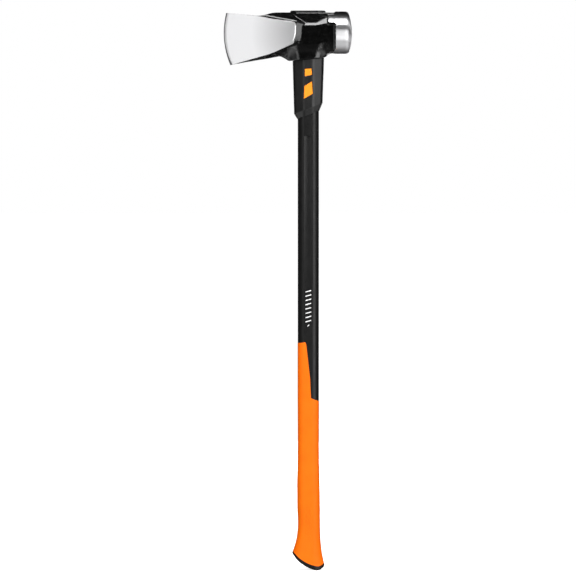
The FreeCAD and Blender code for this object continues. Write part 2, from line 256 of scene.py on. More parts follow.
def surface(field, low, high, step):
    """Quad mesh of the surface where a distance field is zero."""
    axes = [np.arange(a, b + step, step) for a, b in zip(low, high)]
    grid = np.stack(np.meshgrid(*axes, indexing="ij"), -1)
    value = field(grid)
    cells = np.array(value.shape) - 1
    total = np.zeros((*cells, 3))
    hits = np.zeros(cells)
    for axis in range(3):
        for du in (0, 1):
            for dv in (0, 1):
                start = [du, dv]
                start.insert(axis, 0)
                end = list(start)
                end[axis] = 1
                a = value[tuple(slice(s, s + c) for s, c in zip(start, cells))]
                b = value[tuple(slice(s, s + c) for s, c in zip(end, cells))]
                cut = (a < 0) != (b < 0)
                share = np.where(cut, a / np.where(cut, a - b, 1), 0)
                for k in range(3):
                    total[..., k] += cut * (share if k == axis else start[k])
                hits += cut
    used = hits > 0
    index = np.full(cells, -1)
    index[used] = np.arange(used.sum())
    place = np.argwhere(used) + total[used] / hits[used][:, None]
    points = np.array(low) + place * step
    quads = []
    for axis in range(3):
        u, v = (axis + 1) % 3, (axis + 2) % 3
        a = np.take(value, range(value.shape[axis] - 1), axis) < 0
        b = np.take(value, range(1, value.shape[axis]), axis) < 0
        for flip, where in ((False, a & ~b), (True, ~a & b)):
            ijk = np.argwhere(where)
            for side in (u, v):
                ijk = ijk[(ijk[:, side] > 0) & (ijk[:, side] < cells[side])]
            corners = []
            for back_u, back_v in ((1, 1), (0, 1), (0, 0), (1, 0)):
                cell = ijk.copy()
                cell[:, u] -= back_u
                cell[:, v] -= back_v
                corners.append(index[tuple(cell.T)])
            quads.append(np.stack(corners[::-1] if flip else corners, -1))
    for _ in range(3):
        slope = slope_of(field, points)
        points -= slope * (field(points) / np.maximum((slope ** 2).sum(-1), 0.05))[:, None]
    return points, np.concatenate(quads).tolist()


# ---------------------------------------------------------------- head

def cheek_half(x):
    """Half thickness of the wedge between its cheeks."""
    slope = (SHOULDER_HALF - CHEEK_START) / (SHOULDER_X - EDGE_MIDDLE[0])
    return CHEEK_START + slope * (x - EDGE_MIDDLE[0])


def on_cheek(x, z, inset=0.0):
    """Point on the +Y cheek, or a little inside it."""
    return x, cheek_half(x) - inset, z


def circle_through(a, b, c):
    """Centre and radius of the circle through three points of a plane."""
    (ax, ay), (bx, by), (cx, cy) = a, b, c
    d = 2 * (ax * (by - cy) + bx * (cy - ay) + cx * (ay - by))
    a2, b2, c2 = ax * ax + ay * ay, bx * bx + by * by, cx * cx + cy * cy
    x = (a2 * (by - cy) + b2 * (cy - ay) + c2 * (ay - by)) / d
    y = (a2 * (cx - bx) + b2 * (ax - cx) + c2 * (bx - ax)) / d
    return (x, y), math.hypot(ax - x, ay - y)


def wedge_field(p):
    """Forged wedge before its cheeks are ground. The sides are mirrored, so y >= 0."""
    x, z = p[..., 0], p[..., 2]
    ridge_end = on_cheek(SHOULDER_X, -17.2, 1.0)
    top_end = (SHOULDER_X, WEDGE_TOP_HALF, BODY_TOP)
    cheek = beyond(on_cheek(-60, 0), on_cheek(-60, -50), on_cheek(-100, 0))(p)
    forged = [
        beyond(on_cheek(-77.6, -9.9), on_cheek(-27.6, -20.2), on_cheek(-45, -13.1, 1.0)),
        beyond(on_cheek(-67.7, -8.3, 1.0), ridge_end, top_end),
        beyond(ridge_end, top_end, (-9.0, 20.4, -17.2)),
        beyond(on_cheek(-61, -70.2), on_cheek(-29.3, -56.0), (-45, 6.0, -75.2)),
        beyond(on_cheek(-111, -84.2), on_cheek(-61, -70.2), (-75, 3.0, -78.9)),
    ]
    shoulder = [
        beyond(on_cheek(-21.9, -24.0), on_cheek(-22.2, -42.0), (-10.8, BODY_HALF, -35.0)),
        beyond(on_cheek(-22.2, -42.0), on_cheek(-30.0, -57.0), (-15.0, BODY_HALF, -52.0)),
    ]
    top = smooth_min(left_of(x, z, EDGE_TOP, NOTCH), left_of(x, z, NOTCH, CREST), 4.0)
    top = smooth_max(top, z - BODY_TOP, 2.0)
    under = left_of(x, z, (0, -75.2), (-50, -75.2))
    under = smooth_min(under, left_of(x, z, (-50, -75.2), (-67.5, -77.3)), 6.0)
    under = smooth_min(under, left_of(x, z, (-67.5, -77.3), EDGE_BOTTOM), 6.0)
    center, radius = circle_through(EDGE_TOP, EDGE_MIDDLE, EDGE_BOTTOM)
    front = np.hypot(x - center[0], z - center[1]) - radius - 1.5
    solid = smooth_max(cheek - GRINDING, np.maximum(front, x), 1.0)
    solid = smooth_max(solid, smooth_max(top, under, 1.0), 1.6)
    for side in forged:
        solid = smooth_max(solid, side(p), 1.0)
    for side in shoulder:
        solid = smooth_max(solid, side(p), 2.0)
    return solid


def block_field(p):
    """Eye block. A facet and a ledge, which meet in a hollow, lead from its narrow top to
    its sides; towards the poll the hollow rises and the sides spread."""
    x, y, z = p[..., 0], p[..., 1], p[..., 2]
    share = np.clip((x - BLOCK_SPREAD) / (BLOCK_FILLED - BLOCK_SPREAD), 0, 1)
    corners = [
        (a[0] + (b[0] - a[0]) * share, a[1] + (b[1] - a[1]) * share)
        for a, b in zip(BLOCK_PLAIN, BLOCK_FULL)
    ]
    top, facet, ledge, *others = [left_of(y, z, a, b) for a, b in zip(corners, corners[1:])]
    solid = smooth_max(top, smooth_min(facet, ledge, 0.5), 1.5)
    for side in others:
        solid = smooth_max(solid, side, 0.9)
    taper = beyond(
        (BLOCK_TAPER, 16.5, BODY_TOP), (BLOCK_TAPER, 20.5, -17.2), (BLOCK_FRONT, 7.0, BODY_TOP))
    solid = smooth_max(solid, taper(p), 1.0)
    return np.maximum(solid, np.maximum(BLOCK_FRONT - x, x - BLOCK_REAR))


def poll_field(p):
    """Poll blank, a little larger than the turned poll, and the lug that fills its
    upper corner out to the eye block."""
    x, y, z = p[..., 0], p[..., 1], p[..., 2]
    disc = smooth_max(np.hypot(y, z - POLL_Z) - POLL_RADIUS - 0.8, POLL_FRONT - x, 2.0)
    disc = np.maximum(disc, x - FACE_X - 2)
    lug = np.hypot(y - LUG_Y, z - LUG_Z) - LUG_RADIUS
    lug = smooth_max(lug, np.maximum(LUG_FRONT - x, x - BLOCK_REAR), 2.5)
    return disc, lug


def skirt_field(p):
    """Boss round the eye, and the web under the wedge that runs into it."""
    x, y, z = p[..., 0], p[..., 1], p[..., 2]
    drop = (BOSS_TOP - z) / BOSS_DROP
    boss = oval_distance(x, y, -38.0 + 7.0 * drop, 34.0 - 7.5 * drop, 23.9 - 2.9 * drop)
    boss = smooth_max(boss, z - BOSS_TOP, 3.0)
    drop = (WEB_TOP - z) / WEB_DROP
    web = oval_distance(x, y, -59.0 + 29.0 * drop, 41.0 - 25.0 * drop, 10.5 - 0.5 * drop)
    return boss, smooth_max(web, z - WEB_TOP, 3.0)


def eye_field(p):
    """Tapered eye, and the bore for handle and sleeve under it."""
    x, y, z = p[..., 0], p[..., 1], p[..., 2]
    rise = np.clip((z - SKIRT_FRONT[1]) / (EYE_FILL_TOP - SKIRT_FRONT[1]), 0, 1)
    half_x = SHELL_HALF_X + SLEEVE_WALL
    half_y = SHELL_HALF_Y + SLEEVE_WALL
    half_x = half_x + (EYE_TOP_HALF_X - half_x) * rise
    half_y = half_y + (EYE_TOP_HALF_Y - half_y) * rise
    return oval_distance(x, y, -half_x, half_x, half_y)


def head_field(p):
    """Whole forging before grinding and turning."""
    p = np.stack([p[..., 0], np.abs(p[..., 1]), p[..., 2]], -1)
    x, z = p[..., 0], p[..., 2]
    disc, lug = poll_field(p)
    boss, web = skirt_field(p)
    solid = smooth_min(wedge_field(p), block_field(p), 0.3)
    solid = smooth_min(smooth_min(solid, lug, 2.5), disc, 4.0)
    solid = smooth_min(solid, smooth_min(boss, web, 4.0), 7.0)
    solid = solid + UNEVENNESS * waves(p, UNEVEN_LENGTH, 3)
    solid = smooth_max(solid, left_of(x, z, SKIRT_REAR, SKIRT_FRONT), 1.6)
    return smooth_max(solid, -eye_field(p), 0.8)


def add_tool(points, faces, material):
    """Closed solid that a piece is cut with."""
    mesh = bpy.data.meshes.new("tool")
    mesh.from_pydata([tuple(q) for q in points * MM], [], faces)
    mesh.materials.append(material)
    tool = bpy.data.objects.new("tool", mesh)
    bpy.context.scene.collection.objects.link(tool)
    face_outwards(tool)
    return tool


def lathe(profile, center, axis, steps, material):
    """Closed solid turned about an axis from an outline of (along, radius) points that
    starts and ends on the axis."""
    angles = np.arange(steps) * 2 * np.pi / steps
    points = []
    for along, radius in profile[1:-1]:
        a, b = radius * np.cos(angles), radius * np.sin(angles)
        ring = [np.full(steps, along), a, b] if axis == 0 else [a, np.full(steps, along), b]
        points.append(np.stack(ring, -1))
    ends = np.zeros((2, 3))
    ends[:, axis] = profile[0][0], profile[-1][0]
    points.append(ends)
    points = np.concatenate(points) + np.array(center)
    first, last = len(points) - 2, len(points) - 1
    faces = []
    for i in range(len(profile) - 3):
        for j in range(steps):
            k = (j + 1) % steps
            faces.append((i * steps + j, i * steps + k, (i + 1) * steps + k, (i + 1) * steps + j))
    base = (len(profile) - 3) * steps
    for j in range(steps):
        k = (j + 1) % steps
        faces.append((first, k, j))
        faces.append((last, base + j, base + k))
    return add_tool(points, faces, material)


def prism(outline, low, high, material):
    """Closed solid over an outline in the plane z = 0, between two heights."""
    count = len(outline)
    points = np.array([(x, y, z) for z in (low, high) for x, y in outline])
    faces = [tuple(range(count)), tuple(range(2 * count - 1, count - 1, -1))]
    for i in range(count):
        j = (i + 1) % count
        faces.append((i, j, count + j, count + i))
    return add_tool(points, faces, material)


def keep_inside(piece, tool):
    """Cut a piece to what lies inside a tool; the new faces take the tool's material."""
    change = piece.modifiers.new("cut", "BOOLEAN")
    change.operation = "INTERSECT"
    change.solver = "MANIFOLD"
    change.material_mode = "TRANSFER"
    change.object = tool
    bpy.context.view_layer.update()
    graph = bpy.context.evaluated_depsgraph_get()
    mesh = bpy.data.meshes.new_from_object(piece.evaluated_get(graph))
    piece.modifiers.clear()
    piece.data = mesh
    bpy.data.objects.remove(tool)


def poll_outline():
    """What the lathe leaves of the poll: run-out, cylinder, rounded edge and crown."""
    crown_center = FACE_X - CROWN_RADIUS
    ring = POLL_RADIUS - POLL_EDGE
    inner = CROWN_RADIUS - POLL_EDGE
    edge_x = crown_center + math.sqrt(inner ** 2 - ring ** 2)
    rim = math.asin(ring / inner)
    front = TURNING_START - RUN_OUT
    outline = [(-CLEAR, 0.0), (-CLEAR, CLEAR), (front, CLEAR)]
    outline += [(front, POLL_RADIUS + RUN_OUT), (TURNING_START, POLL_RADIUS)]
    for i in range(9):
        turn = math.pi / 2 + (rim - math.pi / 2) * i / 8
        outline.append((edge_x + POLL_EDGE * math.cos(turn), ring + POLL_EDGE * math.sin(turn)))
    for i in range(1, 12):
        turn = rim * (1 - i / 12)
        outline.append((crown_center + CROWN_RADIUS * math.cos(turn), CROWN_RADIUS * math.sin(turn)))
    return outline + [(FACE_X, 0.0)]


def hone_outline():
    """Two cones back to back about the centre of the edge's arc: they hone the edge."""
    radius = circle_through(EDGE_TOP, EDGE_MIDDLE, EDGE_BOTTOM)[1]
    middle = EDGE_HALF + radius * math.tan(math.radians(HONE_ANGLE))
    return [(-middle, 0.0), (-EDGE_HALF, radius), (EDGE_HALF, radius), (middle, 0.0)]


def make_head(paint, ground, turned, honed):
    """Forging, cut by its cheeks, its turned poll and its honed edge."""
    low, high = (-142.0, -38.6, -92.0), (75.0, 38.6, 2.0)
    points, faces = surface(head_field, low, high, HEAD_GRID)
    head = add_piece("head_forging", points, faces, [paint], "maul_head")
    face_outwards(head)
    apex = EDGE_MIDDLE[0] - CHEEK_START / (cheek_half(1) - cheek_half(0))
    cheeks = [(apex, 0.0), (120.0, -cheek_half(120.0)), (120.0, cheek_half(120.0))]
    keep_inside(head, prism(cheeks, -120.0, 30.0, ground))
    keep_inside(head, lathe(poll_outline(), (0, 0, POLL_Z), 0, 240, turned))
    center = circle_through(EDGE_TOP, EDGE_MIDDLE, EDGE_BOTTOM)[0]
    keep_inside(head, lathe(hone_outline(), (center[0], 0, center[1]), 1, 720, honed))
    smooth(head, 32.0)


# ---------------------------------------------------------------- collar, sleeve and cap

def collar_outside(p):
    """Faceted collar: a flat panel, two facets and an end on each quarter."""
    x, y, z = np.abs(p[..., 0]), np.abs(p[..., 1]), p[..., 2]
    tilt = (COLLAR_FOOT_REAR - COLLAR_FOOT_FRONT) / (2 * COLLAR_FOOT_HALF[0])
    foot = (COLLAR_FOOT_REAR + COLLAR_FOOT_FRONT) / 2 + tilt * p[..., 0]
    half_x, half_y, top = COLLAR_TOP
    share = np.clip((top - z) / (top - foot), 0, 1)
    half_x = half_x + (COLLAR_FOOT_HALF[0] - half_x) * share
    half_y = half_y + (COLLAR_FOOT_HALF[1] - half_y) * share
    under = np.clip((foot - z) / COLLAR_BEVEL, 0, 1.5)
    half_x = half_x + (SHELL_HALF_X + 0.5 - COLLAR_FOOT_HALF[0]) * under
    half_y = half_y + (SHELL_HALF_Y + 0.5 - COLLAR_FOOT_HALF[1]) * under
    corners = [
        (COLLAR_PANEL, half_y),
        (COLLAR_FACET[0] * half_x, COLLAR_FACET[1] * half_y),
        (half_x, COLLAR_END * half_y),
        (half_x, 0),
    ]
    solid = y - half_y
    for start, end in zip(corners, corners[1:]):
        solid = smooth_max(solid, left_of(x, y, start, end), 1.6)
    return smooth_max(solid, foot - COLLAR_BEVEL - z, 0.8)


def window(p, corners):
    """Distance outside a four-cornered window, which runs through both sides."""
    x, z = p[..., 0], p[..., 2]
    outside = -1e3
    for i, start in enumerate(corners):
        outside = smooth_max(outside, left_of(x, z, start, corners[(i + 1) % 4]), 1.2)
    return outside


def collar_field(p):
    """Collar between the head's skirt and the handle, with its windows."""
    x, y, z = p[..., 0], p[..., 1], p[..., 2]
    solid = smooth_max(collar_outside(p), -left_of(x, z, SKIRT_REAR, SKIRT_FRONT), 0.8)
    shell = oval_distance(x, y, -SHELL_HALF_X, SHELL_HALF_X, SHELL_HALF_Y)
    inside = np.where(z > SLEEVE_END, eye_field(p), shell)
    solid = smooth_max(solid, -inside, 0.3)
    for corners in WINDOWS:
        opening = np.maximum(window(p, corners) - 0.35, SHELL_HALF_Y - np.abs(y))
        solid = smooth_max(solid, -opening, 0.8)
    return solid


def make_collar(material):
    """Moulded collar with sharp facets."""
    low, high = (-28.0, -22.0, -180.0), (28.0, 22.0, -74.0)
    points, faces = surface(collar_field, low, high, COLLAR_GRID)
    collar = add_piece("collar_shell", points, faces, [material], "collar")
    face_outwards(collar)
    smooth(collar, 50.0)


def oval_loop(left, right, half, straight=16, bend=16):
    """Points (x, y) round a flat-sided oval, from its left end over +Y."""
    bulge = 0.92 * half
    turn = np.linspace(0, np.pi / 2, bend, endpoint=False)
    x = np.concatenate([
        left + bulge - bulge * np.cos(turn),
        np.linspace(left + bulge, right - bulge, straight, endpoint=False),
        right - bulge + bulge * np.sin(np.linspace(0, np.pi / 2, bend + 1)),
    ])
    y = np.concatenate([
        half * np.sin(turn),
        np.full(straight, half),
        half * np.cos(np.linspace(0, np.pi / 2, bend + 1)),
    ])
    return np.concatenate([x, x[-2:0:-1]]), np.concatenate([y, -y[-2:0:-1]])


def make_cap(material):
    """Thin oval plate with a rounded rim, a shallow dish in its top and a plug below."""
    plug = [(-8.0, EYE_FILL_TOP), (-8.0, BODY_TOP)]
    side = [(-0.5, BODY_TOP), (0, -2.6), (0, -1.7), (-0.4, -1.35), (-0.75, -1.3), (-0.8, -0.9)]
    turns = np.linspace(0, math.pi / 2, 7)
    rim = [(-2.0 + 1.2 * math.cos(turn), -1.0 + math.sin(turn)) for turn in turns]
    dish = [(-4.6, 0.0), (-5.1, -0.15), (-5.5, -0.45), (-6.2, -0.5), (-12.0, -0.5)]
    loops = []
    for grow, z in plug + side + rim + dish:
        x, y = oval_loop(CAP_X - CAP_HALF_X - grow, CAP_X + CAP_HALF_X + grow, CAP_HALF_Y + grow)
        loops.append(np.stack([x, y, np.full(len(x), z)], -1))
    points, faces = tube(loops, False)
    cap = add_piece("eye_cap", points, faces, [material], "top_cap")
    face_outwards(cap)
    smooth(cap, 40.0)


# ---------------------------------------------------------------- handle

GRIP_STATIONS = [
    # height, front, rear, half depth
    (-500.0, -17.5, 17.6, 12.8),
    (-620.0, -17.5, 17.6, 12.8),
    (-740.0, -17.6, 17.8, 13.0),
    (-772.0, -18.3, 18.5, 13.5),
    (-810.0, -18.0, 19.1, 13.5),
    (-846.0, -17.3, 19.4, 13.2),
    (-866.0, -20.0, 20.1, 13.6),
    (-886.0, -26.4, 22.3, 14.8),
    (-918.0, -41.0, 29.5, 16.5),
]


def along_grip(z):
    """Front, rear and half depth of the grip at heights, on a smooth curve."""
    table = np.array(GRIP_STATIONS)[::-1]
    heights = table[:, 0]
    z = np.clip(z, heights[0], heights[-1])
    i = np.clip(np.searchsorted(heights, z) - 1, 0, len(heights) - 2)
    span = heights[i + 1] - heights[i]
    t = (z - heights[i]) / span
    slope = np.gradient(table[:, 1:], heights, axis=0)
    result = []
    for k in range(3):
        a, b = table[i, k + 1], table[i + 1, k + 1]
        sa, sb = slope[i, k] * span, slope[i + 1, k] * span
        result.append(
            (2 * t ** 3 - 3 * t ** 2 + 1) * a + (t ** 3 - 2 * t ** 2 + t) * sa
            + (3 * t ** 2 - 2 * t ** 3) * b + (t ** 3 - t ** 2) * sb)
    return result


def butt_end(x, lift):
    """Height of the curved, slanted end of the handle, raised by lift."""
    hook, slant, low = (-36.0, -868.0), (-9.5, -904.6), (14.5, -LENGTH)
    (cx, cz), radius = circle_through(hook, slant, low)
    curve = cz - np.sqrt(np.maximum(radius ** 2 - (x - cx) ** 2, 0))
    (kx, kz), turn = circle_through(low, (20.6, -LENGTH + 1.2), (28.0, -LENGTH + 8.0))
    heel = kz - np.sqrt(np.maximum(turn ** 2 - (x - kx) ** 2, 0))
    return np.where(x < low[0], curve, heel) + lift


def grip_top(x):
    """Height of the grip's upper edge, which steps down behind the middle."""
    def line(a, b):
        return a[1] + (x - a[0]) * (b[1] - a[1]) / (b[0] - a[0])

    start, crest, bend = (-60.0, -548.0), (-3.9, -540.6), (2.9, -600.0)
    foot, end = (4.0, -632.3), (60.0, -653.0)
    steep = np.where(x < bend[0], line(crest, bend), line(bend, foot))
    return smooth_max(smooth_min(line(start, crest), steep, 14.0), line(foot, end), 22.0)


def handle_points(base_x, base_y, z, inset=0.0):
    """Points of a unit oval loop, scaled to the grip's size at heights z."""
    left, right, half = along_grip(z)
    left, right, half = left + inset, right - inset, half - inset
    x = (left + right) / 2 + base_x * (right - left) / 2
    return np.stack([x, base_y * half, z + np.zeros_like(x)], -1)


def unit_oval(straight, bend):
    """Loop of the grip's section, scaled to run from -1 to 1 each way."""
    x, y = oval_loop(-GRIP_HALF_X, GRIP_HALF_X, GRIP_HALF_Y, straight, bend)
    return x / GRIP_HALF_X, y / GRIP_HALF_Y


def snapped(x, places):
    """Loop coordinates with the nearest ones moved onto some places."""
    for place in places:
        away = np.abs(x - place)
        x = np.where(away - away.min() < 1e-6, place, x)
    return x


def groove(x, z):
    """Depth of the hollow along each side, which fades out downwards."""
    fade = np.clip((z - FLUTE_BOTTOM) / (FLUTE_TOP - FLUTE_BOTTOM), 0, 1)
    depth = (FLUTE_DEPTH * (1 - (x / FLUTE_HALF) ** 2) + FLUTE_STEP) * fade
    return np.where((np.abs(x) < FLUTE_HALF) & (z < FLUTE_TOP), depth, 0)


def make_shell(material):
    """Handle tube over the core, with a hollow along each side."""
    x, y = oval_loop(-SHELL_HALF_X, SHELL_HALF_X, SHELL_HALF_Y, 24, 24)
    inner, outer = FLUTE_HALF - 0.12, FLUTE_HALF + 0.12
    x = snapped(x, (-inner, inner, -outer, outer))
    heights = np.concatenate([
        np.linspace(EYE_FILL_TOP, FLUTE_TOP + 6.0, 40),
        FLUTE_TOP + np.array([1.5, 0.5, 0.1, -0.1, -0.5, -1.5, -4.0]),
        np.linspace(FLUTE_TOP - 10.0, FLUTE_BOTTOM, 70),
        np.linspace(FLUTE_BOTTOM - 6.0, SHELL_JOIN, 24),
    ])
    loops = []
    for z in heights:
        side = y - np.sign(y) * groove(x, z)
        loops.append(np.stack([x, side, np.full(len(x), z)], -1))
    for z in np.linspace(SHELL_JOIN - 16.0, SHELL_END, 40):
        loops.append(handle_points(x / SHELL_HALF_X, y / SHELL_HALF_Y, z, GRIP_WALL))
    inner_x, inner_y = x * CORE_HALF_X / SHELL_HALF_X, y * CORE_HALF_Y / SHELL_HALF_Y
    for z in (SHELL_END, EYE_FILL_TOP):
        loops.append(np.stack([inner_x, inner_y, np.full(len(x), z)], -1))
    points, faces = tube(loops, True)
    shell = add_piece("handle_tube", points, faces, [material], "handle_shell")
    face_outwards(shell)
    smooth(shell, 30.0)


def dimples(x, z):
    """Depth of the diamond dimples on the palm swell."""
    across, along = x / DIMPLE_PITCH, (z - PALM_MIDDLE) / (2 * DIMPLE_PITCH)
    u, v = across + along, across - along
    near = np.maximum(np.abs(u - np.round(u)), np.abs(v - np.round(v)))
    patch = np.clip(1.6 - np.abs(x) / 5.0, 0, 1)
    patch = patch * np.clip((PALM_REACH - np.abs(z - PALM_MIDDLE)) / 4.0, 0, 1)
    return DIMPLE_DEPTH * np.clip(1 - near / 0.42, 0, 1) * patch


def grip_wall_points(unit_x, unit_y, rows_top, inset, lift):
    """Loops down the grip between its upper edge and the butt cap."""
    loops = []
    top = handle_points(unit_x, unit_y, -560.0, inset)
    upper = grip_top(top[:, 0])
    for share in rows_top:
        loops.append(handle_points(unit_x, unit_y, upper + (GRIP_EVEN - upper) * share, inset))
    even = np.linspace(GRIP_EVEN - 4.0, PALM_TOP, 36)
    palm = np.linspace(PALM_TOP - 1.0, FLARE_TOP, 100)
    for z in np.concatenate([even, palm]):
        loops.append(handle_points(unit_x, unit_y, z, inset))
    lower = column_end(unit_x, unit_y, inset, lift)
    for share in np.linspace(0.04, 1, 24):
        loops.append(handle_points(unit_x, unit_y, FLARE_TOP + (lower - FLARE_TOP) * share, inset))
    return loops


def column_end(unit_x, unit_y, inset, lift):
    """Height where each column of a loop meets the raised butt end."""
    z = np.full(len(unit_x), -890.0)
    for _ in range(60):
        z = 0.5 * z + 0.5 * butt_end(handle_points(unit_x, unit_y, z, inset)[:, 0], lift)
    return z


def make_grip(material):
    """Grip sleeve with a thin lip at its top and dimples on the palm swell."""
    unit_x, unit_y = unit_oval(32, 20)
    rows = np.concatenate([[0.0, 0.002, 0.006, 0.012], np.linspace(0.03, 1, 34)])
    outer = grip_wall_points(unit_x, unit_y, rows, 0.0, BUTT_WALL)
    for loop in outer:
        depth = dimples(loop[:, 0], loop[:, 2])
        loop[:, 1] -= np.sign(loop[:, 1]) * depth
    lip = [0.7, 0.28, 0.08, 0.0]
    for loop, inset in zip(outer, lip):
        shrunk = handle_points(unit_x, unit_y, loop[:, 2], inset)
        loop[:, :2] = shrunk[:, :2]
    inner = grip_wall_points(unit_x, unit_y, np.linspace(0, 1, 12), GRIP_WALL, BUTT_WALL)
    points, faces = tube(outer + inner[::-1], True)
    grip = add_piece("grip_sleeve", points, faces, [material], "grip")
    face_outwards(grip)
    smooth(grip, 40.0)


def make_butt(material):
    """Rim that closes the grip: a plate that follows the curved end, rounded below."""
    unit_x, unit_y = unit_oval(32, 20)
    upper = column_end(unit_x, unit_y, 0.0, BUTT_WALL)
    lower = column_end(unit_x, unit_y, 0.0, 0.0)
    loops = []
    ring = handle_points(unit_x, unit_y, upper)
    for shrink in (0.06, 0.4, 0.8):
        flat = ring[:, :2] * shrink
        loops.append(np.stack([flat[:, 0], flat[:, 1], butt_end(flat[:, 0], BUTT_WALL)], -1))
    rounding = [(0.0, 0.0), (0.3, 0.0), (0.6, 0.05), (0.78, 0.3), (0.9, 0.8), (0.97, 1.4), (1.0, 2.2)]
    for share, inset in rounding:
        loops.append(handle_points(unit_x, unit_y, upper + (lower - upper) * share, inset))
    ring = loops[-1]
    for shrink in (0.85, 0.6, 0.3, 0.06):
        flat = ring[:, :2] * shrink
        loops.append(np.stack([flat[:, 0], flat[:, 1], butt_end(flat[:, 0], 0.0)], -1))
    points, faces = tube(loops, False)
    butt = add_piece("butt_rim", points, faces, [material], "butt_cap")
    face_outwards(butt)
    smooth(butt, 45.0)


def make_print(material):
    """Row of short slanted bars printed in the flute, on both sides."""
    points, faces = [], []
    for side in (-1, 1):
        for i in range(PRINT_BARS):
            z = PRINT_TOP - PRINT_PITCH * i
            half = 4.6 if i < PRINT_BARS - 1 else 1.4
            outline = [(-half, -1.7), (half, 0.9), (half, 2.6), (-half, 0.0)]
            base = len(points)
            for lift in (PRINT_BASE, PRINT_RISE):
                for dx, dz in outline:
                    points.append((dx, side * (SHELL_HALF_Y - groove(dx, z) + lift), z + dz))
            faces += [(base, base + 1, base + 2, base + 3), (base + 7, base + 6, base + 5, base + 4)]
            for j in range(4):
                k = (j + 1) % 4
                faces.append((base + j, base + 4 + j, base + 4 + k, base + k))
    marks = add_piece("handle_print", points, faces, [material])
    face_outwards(marks)


# ---------------------------------------------------------------- materials

class Nodes:
    """One procedural material, with short calls for the nodes it needs."""

    def __init__(self, name, color, roughness, metallic=0.0):
        self.material = bpy.data.materials.new(name)
        self.material.use_nodes = True
        self.tree = self.material.node_tree
        self.shader = self.tree.nodes["Principled BSDF"]
        self.shader.inputs["Base Color"].default_value = (*color, 1)
        self.shader.inputs["Roughness"].default_value = roughness
        self.shader.inputs["Metallic"].default_value = metallic
        self.place = self.tree.nodes.new("ShaderNodeTexCoord").outputs["Object"]

    def link(self, source, target):
        self.tree.links.new(source, target)

    def noise(self, scale, detail=3.0, roughness=0.5, stretch=(1, 1, 1), place=None):
        """Noise about 0.5, stretched where the factor of an axis is below one."""
        node = self.tree.nodes.new("ShaderNodeTexNoise")
        node.inputs["Scale"].default_value = scale
        node.inputs["Detail"].default_value = detail
        node.inputs["Roughness"].default_value = roughness
        mapping = self.tree.nodes.new("ShaderNodeMapping")
        mapping.inputs["Scale"].default_value = stretch
        self.link(place or self.place, mapping.inputs["Vector"])
        self.link(mapping.outputs["Vector"], node.inputs["Vector"])
        return node.outputs["Fac"]

    def ranged(self, value, low, high, from_low=0.3, from_high=0.7):
        """Value brought from one range, at first that of noise, to another."""
        node = self.tree.nodes.new("ShaderNodeMapRange")
        node.inputs["From Min"].default_value = from_low
        node.inputs["From Max"].default_value = from_high
        node.inputs["To Min"].default_value = low
        node.inputs["To Max"].default_value = high
        self.link(value, node.inputs["Value"])
        return node.outputs["Result"]

    def colors(self, value, first, second):
        """Base colour between two colours, by a value from 0 to 1."""
        node = self.tree.nodes.new("ShaderNodeMix")
        node.data_type = "RGBA"
        node.inputs["A"].default_value = (*first, 1)
        node.inputs["B"].default_value = (*second, 1)
        self.link(value, node.inputs["Factor"])
        self.link(node.outputs["Result"], self.shader.inputs["Base Color"])

    def calculate(self, operation, *values):
        """Result of a Math node over sockets and numbers."""
        node = self.tree.nodes.new("ShaderNodeMath")
        node.operation = operation
        for value, socket in zip(values, node.inputs):
            if isinstance(value, float):
                socket.default_value = value
            else:
                self.link(value, socket)
        return node.outputs["Value"]

    def add(self, first, second, share):
        """First height plus a share of the second."""
        return self.calculate("MULTIPLY_ADD", second, share, first)

    def axes(self):
        """X, Y and Z of the place on the piece, in metres."""
        split = self.tree.nodes.new("ShaderNodeSeparateXYZ")
        self.link(self.place, split.inputs["Vector"])
        return split.outputs

    def mirrored_distance(self, slope, offset):
        """How far |y| is beyond slope * x + offset, in metres."""
        axes = self.axes()
        level = self.calculate("SUBTRACT", self.calculate("ABSOLUTE", axes["Y"]), offset * MM)
        return self.add(level, axes["X"], -slope)

    def radius(self, horizontal, vertical, center):
        """Distance from a centre, across two of the axes."""
        axes = self.axes()
        flat = self.tree.nodes.new("ShaderNodeCombineXYZ")
        for axis, socket, middle in zip((horizontal, vertical), ("X", "Y"), center):
            self.link(self.calculate("SUBTRACT", axes[axis], middle * MM), flat.inputs[socket])
        length = self.tree.nodes.new("ShaderNodeVectorMath")
        length.operation = "LENGTH"
        self.link(flat.outputs["Vector"], length.inputs[0])
        return length.outputs["Value"]

    def bump(self, height, distance, strength=1.0):
        """Relief of a height from 0 to 1 over a distance in metres."""
        node = self.tree.nodes.new("ShaderNodeBump")
        node.inputs["Strength"].default_value = strength
        node.inputs["Distance"].default_value = distance
        self.link(height, node.inputs["Height"])
        self.link(node.outputs["Normal"], self.shader.inputs["Normal"])

    def rough(self, value):
        self.link(value, self.shader.inputs["Roughness"])


def paint_material():
    """Thick glossy black paint with orange peel, rubbed to bare steel by the grinding
    in a narrow band along the cheeks."""
    black, steel = (0.0012, 0.0012, 0.0012), (0.6, 0.6, 0.6)
    m = Nodes("black_paint", black, 0.2)
    peel = m.noise(520.0, 2.0)
    broad = m.noise(160.0, 2.0)
    slope = cheek_half(1.0) - cheek_half(0.0)
    rim = cheek_half(0.0) - RIM_DEPTH - RIM_SPREAD * -SHOULDER_X
    worn = m.mirrored_distance(slope - RIM_SPREAD, rim)
    chips = m.noise(900.0, 2.0)
    bare = m.ranged(m.add(worn, chips, 0.0003), 0.0, 1.0, 0.00005, 0.0003)
    m.colors(bare, black, steel)
    m.link(bare, m.shader.inputs["Metallic"])
    m.rough(m.add(m.ranged(broad, 0.12, 0.22), bare, 0.22))
    m.bump(m.add(peel, broad, 0.5), 0.0004, 0.4)
    return m.material


